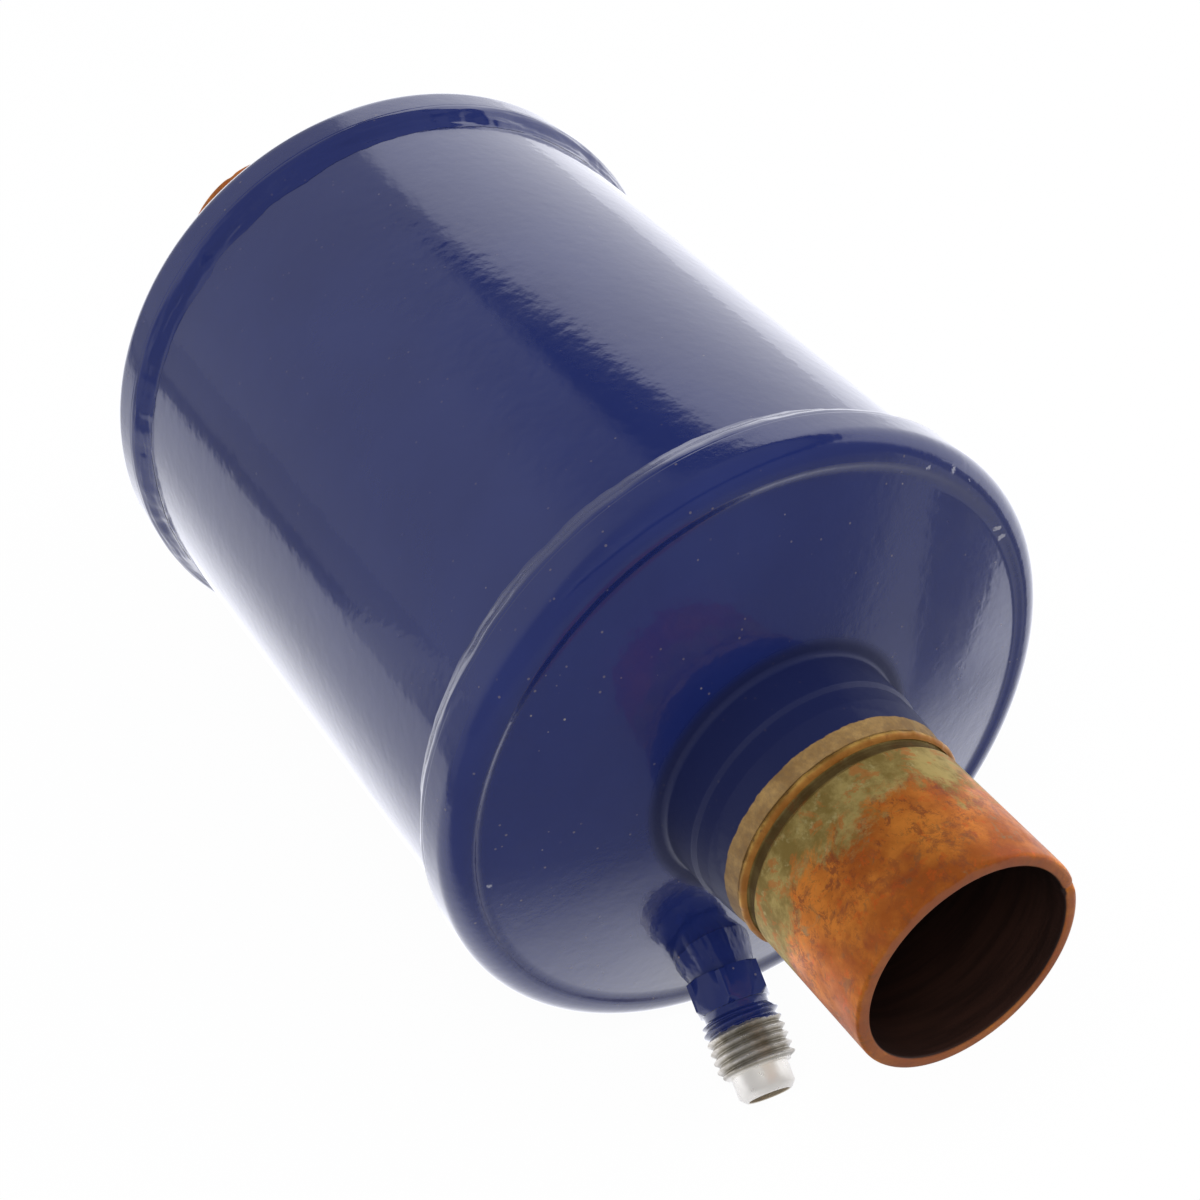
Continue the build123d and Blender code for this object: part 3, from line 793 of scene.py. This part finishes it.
# braze round the valve's foot: it spreads over the dome and stops short of the hexagon
BRAZE_STEPS = 26
BRAZE_ROUND = 240
rows = [[] for _ in range(BRAZE_STEPS + 2)]
for j in range(BRAZE_ROUND):
    a = 2 * math.pi * j / BRAZE_ROUND
    ray = VALVE_TURN @ Vector((math.cos(a), math.sin(a), 0))
    spread = 5.9 + 0.40 * around(a, 2.5, 21.0) + 0.10 * around(a, 7.0, 22.0)
    foot_point = VALVE_BASE + ray * spread
    radial = math.hypot(foot_point.y, foot_point.z)
    foot_point.x = INLET_RIM + dome(max(radial, NECK_R + 1.0)) - 0.25
    top_radius = 4.6 + 0.05 * around(a, 4.0, 23.0)
    top_height = 3.75 + 0.06 * around(a, 3.0, 24.0)
    top_point = VALVE_BASE + ray * top_radius + VALVE_DIR * top_height
    swell = 0.22 * (0.6 + 0.5 * around(a, 3.0, 26.0))
    for i in range(BRAZE_STEPS):
        f = i / (BRAZE_STEPS - 1)
        p = foot_point.lerp(top_point, f ** 1.25)
        p += (ray * 0.55 + VALVE_DIR * 0.85) * swell * math.sin(math.pi * f)
        lump = noise.fractal(p * 0.9 + Vector((0, 0, 30)), 1.0, 2.0, 4)
        p += (ray + VALVE_DIR * 0.4) * 0.07 * lump * math.sin(math.pi * f)
        rows[i].append(p)
    rows[BRAZE_STEPS].append(VALVE_BASE + ray * 3.55 + VALVE_DIR * 3.0)
    rows[BRAZE_STEPS + 1].append(VALVE_BASE + ray * 3.55 - VALVE_DIR * 1.6)
braze = grid_mesh("access_valve_braze_lumps", rows)
put(braze, ["access_valve_braze"], blue_paint("valve_braze_blue_paint", 1.6, 1.8, 0.45, 0.22))

# ------------------------------------------------------------------ pieces shown as the part has them
pressed = plain_metal("pressed_steel", (0.30, 0.30, 0.31), (0.50, 0.50, 0.51), (0.3, 0.5), 200)
wire = plain_metal("spring_wire_steel", (0.22, 0.22, 0.23), (0.42, 0.42, 0.43), (0.25, 0.4), 400)
brass = plain_metal("core_brass_turned", (0.42, 0.27, 0.08), (0.66, 0.47, 0.18), (0.25, 0.45), 600)
needle = plain_metal("pin_steel_drawn", (0.40, 0.40, 0.40), (0.64, 0.64, 0.63), (0.2, 0.4), 900)
black = rubber("seal_rubber_matt")
wool = felt("pressed_felt")
block = desiccant("desiccant_grains")
for node, material in {
    "valve_core_barrel": brass, "valve_core_gasket": black, "valve_core_pin": needle,
    "valve_core_seal": black, "valve_core_spring": wire, "outlet_plate": pressed,
    "outlet_felt_ring": wool, "desiccant_core": block, "strainer_tube": pressed,
    "filter_sleeve": wool, "inlet_felt_ring": wool, "spring_plate": pressed, "core_spring": wire,
}.items():
    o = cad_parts[node]
    o.data.materials.clear()
    o.data.materials.append(material)

# ------------------------------------------------------------------ floor, light and camera
GROUND = cad_box[0][2]
FLOOR_X = (-1.6, 1.3)
FLOOR_Y = (-1.3, 1.6)
FLOOR_GLOW_SHARE = 0.97
WHITE = (1.0, 1.0, 1.0)
COOL = (0.97, 0.98, 1.06)
SWEEP_TURN = math.radians(-130)
SWEEP_LEVEL = 0.96
GAP_DEPTH = 0.95
ROOM_LEVEL = 0.18
BEHIND_LEVEL = 0.20
DIFFUSE_LEVEL = 0.57


def along(t, cx, cy):
    """cx * x + cy * y over the floor."""
    n = t.add("ShaderNodeVectorMath")
    n.operation = "DOT_PRODUCT"
    n.inputs[1].default_value = (cx, cy, 0)
    t.link(t.coords, n.inputs[0])
    return n.outputs["Value"]


def reflected_floor(t):
    """Level of the floor in reflections: bright behind the drier, dim in front and far to its side."""
    x, y = t.axis(0), t.axis(1)
    side_edge = t.larger(t.ramp(y, -0.155, -0.185, 1.0, 0.12), t.ramp(y, -0.195, -0.250, 0.0, 0.40))
    front = t.times(t.ramp(x, -0.002, -0.044, 0.19, 1.30), side_edge)
    field = t.times(front, t.ramp(y, -0.04, -0.09, 1.0, 0.58))
    lit = t.times(t.ramp(along(t, 1, -0.5), -0.0555, -0.0610, 0.0, 1.15), t.ramp(y, 0.045, 0.100))
    cross = along(t, -1.1, 1)
    patch = t.times(t.ramp(cross, 0.010, 0.060, 0.19, 0.50), t.ramp(cross, 0.086, 0.075, 0.3, 1.0))
    return t.larger(t.larger(field, lit), patch)


def floor_material():
    """White to the camera, shaded by the drier in part, and with its own levels in reflections."""
    material = bpy.data.materials.new("floor_white")
    material.use_nodes = True
    material.node_tree.nodes.clear()
    t = Tree(material.node_tree, "Object")
    rays = t.add("ShaderNodeLightPath")
    camera_ray = rays.outputs["Is Camera Ray"]
    seen = t.larger(camera_ray, rays.outputs["Is Glossy Ray"])
    seen = t.larger(seen, rays.outputs["Is Transmission Ray"])
    diffuse = t.add("ShaderNodeBsdfDiffuse")
    diffuse.inputs["Color"].default_value = (0.90, 0.90, 0.90, 1)
    glow = t.add("ShaderNodeEmission")
    t.link(t.mix_value(camera_ray, reflected_floor(t), 1.0), glow.inputs["Strength"])
    t.link(t.mix(camera_ray, COOL, WHITE), glow.inputs["Color"])
    mixed = t.add("ShaderNodeMixShader")
    t.link(t.times(seen, FLOOR_GLOW_SHARE), mixed.inputs[0])
    t.link(diffuse.outputs[0], mixed.inputs[1])
    t.link(glow.outputs[0], mixed.inputs[2])
    t.link(mixed.outputs[0], t.add("ShaderNodeOutputMaterial").inputs[0])
    return material


corners = [(FLOOR_X[0], FLOOR_Y[0], GROUND), (FLOOR_X[1], FLOOR_Y[0], GROUND),
           (FLOOR_X[1], FLOOR_Y[1], GROUND), (FLOOR_X[0], FLOOR_Y[1], GROUND)]
mesh = bpy.data.meshes.new("floor")
mesh.from_pydata(corners, [], [(0, 1, 2, 3)])
mesh.materials.append(floor_material())
floor = bpy.data.objects.new("floor", mesh)
bpy.context.scene.collection.objects.link(floor)


def sine(degrees):
    return math.sin(math.radians(degrees))


def sideways(t):
    """Angle round the vertical from the middle of the sweep."""
    turned = t.add("ShaderNodeVectorRotate")
    turned.rotation_type = "Z_AXIS"
    turned.inputs["Angle"].default_value = SWEEP_TURN
    t.link(t.coords, turned.inputs["Vector"])
    flat = turned.outputs[0]
    return t.math("ARCTAN2", t.axis(1, flat), t.axis(0, flat))


def reflected_room(t):
    """Level of the world in reflections: a white sweep behind, a dark gap over it and a grey room."""
    up, off = t.axis(2), sideways(t)
    left = t.ramp(off, math.radians(40), math.radians(33))
    right = t.ramp(off, math.radians(-72), math.radians(-58))
    sweep = t.times(t.times(left, right), t.ramp(up, sine(39), sine(36)))
    gap = t.times(t.ramp(up, sine(37.5), sine(39)), t.ramp(off, math.radians(46), math.radians(38)))
    gap = t.times(gap, t.ramp(up, sine(50), sine(43)))
    behind = t.times(t.ramp(t.axis(0), 0.05, -0.45), t.ramp(up, sine(50), sine(36)))
    level = t.math("ADD", ROOM_LEVEL, t.times(behind, BEHIND_LEVEL))
    room = t.times(t.math("SUBTRACT", 1.0, t.times(gap, GAP_DEPTH)), level)
    return t.larger(room, t.times(sweep, SWEEP_LEVEL))


def build_world():
    world = bpy.data.worlds.new("studio")
    bpy.context.scene.world = world
    world.use_nodes = True
    world.node_tree.nodes.clear()
    t = Tree(world.node_tree, "Generated")
    rays = t.add("ShaderNodeLightPath")
    camera_ray = rays.outputs["Is Camera Ray"]
    level = t.mix_value(rays.outputs["Is Glossy Ray"], DIFFUSE_LEVEL, reflected_room(t))
    background = t.add("ShaderNodeBackground")
    t.link(t.mix(camera_ray, COOL, WHITE), background.inputs["Color"])
    t.link(t.mix_value(camera_ray, level, 1.0), background.inputs["Strength"])
    t.link(background.outputs[0], t.add("ShaderNodeOutputWorld").inputs[0])


def lamp(name, place, target, size, power):
    data = bpy.data.lights.new(name, "AREA")
    data.shape = "RECTANGLE"
    data.size, data.size_y = size
    data.energy = power
    o = bpy.data.objects.new(name, data)
    o.location = place
    o.rotation_euler = (Vector(target) - Vector(place)).to_track_quat("-Z", "Y").to_euler()
    o.visible_glossy = False
    bpy.context.scene.collection.objects.link(o)


build_world()
lamp("key_softbox", (0.45, -0.55, 1.05), (-0.1, 0, 0), (0.7, 0.7), 9.0)
lamp("side_softbox", (0.1, 1.1, 0.75), (-0.1, 0, 0), (0.8, 0.6), 7.0)

# the camera's place, turn and lens come from a fit to the outlines of the photograph
SENSOR = 36.0
PHOTO_WIDTH = 1200
FOCAL_PIXELS = 2402.8
CAMERA_PLACE = (0.14615, -0.1374, 0.2103)
CAMERA_RIGHT = Vector((0.5097, 0.8608, 0.0)).normalized()
CAMERA_BACK = Vector((0.674, -0.3989, 0.621)).normalized()

camera_data = bpy.data.cameras.new("camera")
camera_data.sensor_width = SENSOR
camera_data.lens = FOCAL_PIXELS / PHOTO_WIDTH * SENSOR
camera_data.clip_start = 0.01
camera = bpy.data.objects.new("camera", camera_data)
upward = CAMERA_BACK.cross(CAMERA_RIGHT).normalized()
turn = Matrix((upward.cross(CAMERA_BACK), upward, CAMERA_BACK)).transposed()
camera.matrix_world = Matrix.Translation(CAMERA_PLACE) @ turn.to_4x4()
bpy.context.scene.collection.objects.link(camera)
bpy.context.scene.camera = camera
bpy.context.scene.view_settings.view_transform = "Standard"
